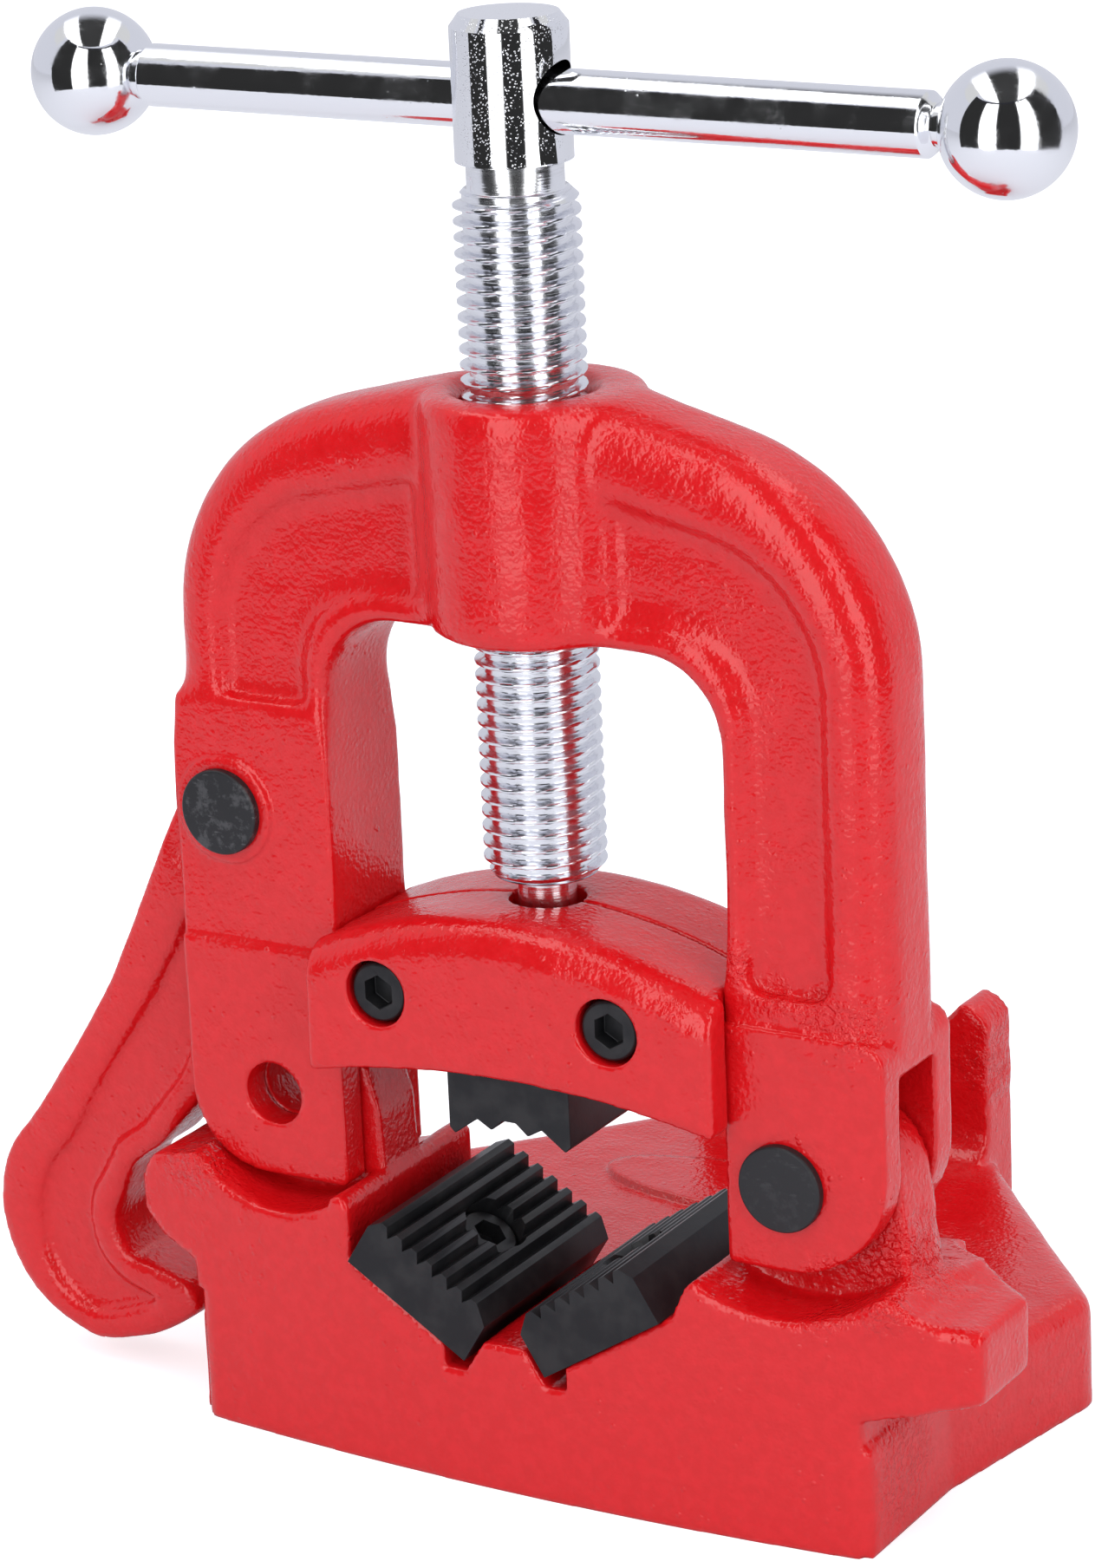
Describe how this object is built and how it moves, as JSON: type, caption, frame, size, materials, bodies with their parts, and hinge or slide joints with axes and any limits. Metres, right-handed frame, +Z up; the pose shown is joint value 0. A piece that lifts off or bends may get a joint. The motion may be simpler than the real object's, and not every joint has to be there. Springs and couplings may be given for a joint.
{
  "type": "pipe vise",
  "caption": "Yoke pipe vise: hinged arch with a latch hook, a screw-driven slide with a serrated jaw, and serrated V jaws on a bolt-down base with a rear pipe saddle.",
  "frame": {"origin": "underside of the base, straight below the screw's axis", "axes": "+X along the handle towards the hinge side, +Y towards the pipe saddle at the back, +Z up along the screw"},
  "size_m": [0.2048, 0.127, 0.2383],
  "materials": {
    "red_paint": "gloss enamel over sand-cast iron",
    "bright_chrome": "polished chrome plate",
    "black_oxide": "black oxide, satin",
    "pin_steel": "dark satin steel, scuffed"
  },
  "bodies": {
    "base": {"base": "red_paint", "lower_jaw_left": "black_oxide", "lower_jaw_right": "black_oxide", "lower_jaw_screw_left": "black_oxide", "lower_jaw_screw_right": "black_oxide"},
    "yoke": {"yoke": "red_paint", "hinge_pin": "pin_steel", "hinge_pin_ring": "pin_steel", "latch_pin": "pin_steel", "latch_pin_ring": "pin_steel"},
    "latch": {"latch_hook": "red_paint"},
    "slide": {"slide_front": "red_paint", "slide_rear": "red_paint", "slide_screw_left": "black_oxide", "slide_screw_right": "black_oxide", "upper_jaw": "black_oxide"},
    "spindle": {"spindle": "bright_chrome"},
    "handle": {"handle_bar": "bright_chrome", "handle_ball_left": "bright_chrome", "handle_ball_right": "bright_chrome"}
  },
  "joints": [
    {"name": "yoke_open", "type": "hinge", "parent": "base", "child": "yoke", "pos_m": [0.0477, 0, 0.0589], "axis": [0, 1, 0], "range_deg": [0, 75]},
    {"name": "latch_swing", "type": "hinge", "parent": "yoke", "child": "latch", "pos_m": [-0.0543, 0, 0.1072], "axis": [0, 1, 0], "range_deg": [0, 74]},
    {"name": "slide_travel", "type": "slide", "parent": "yoke", "child": "slide", "axis": [0, 0, 1], "range_m": [-0.018, 0.038]},
    {"name": "spindle_turn", "type": "hinge", "parent": "slide", "child": "spindle", "pos_m": [0, 0, 0.15], "axis": [0, 0, 1], "range_deg": [-2593, 5473]},
    {"name": "handle_slide", "type": "slide", "parent": "spindle", "child": "handle", "axis": [1, 0, 0], "range_m": [-0.06, 0.055]}
  ],
  "couplings": [
    {"joint": "spindle_turn", "follows": "slide_travel", "rad_per_m": 2513.3}
  ]
}
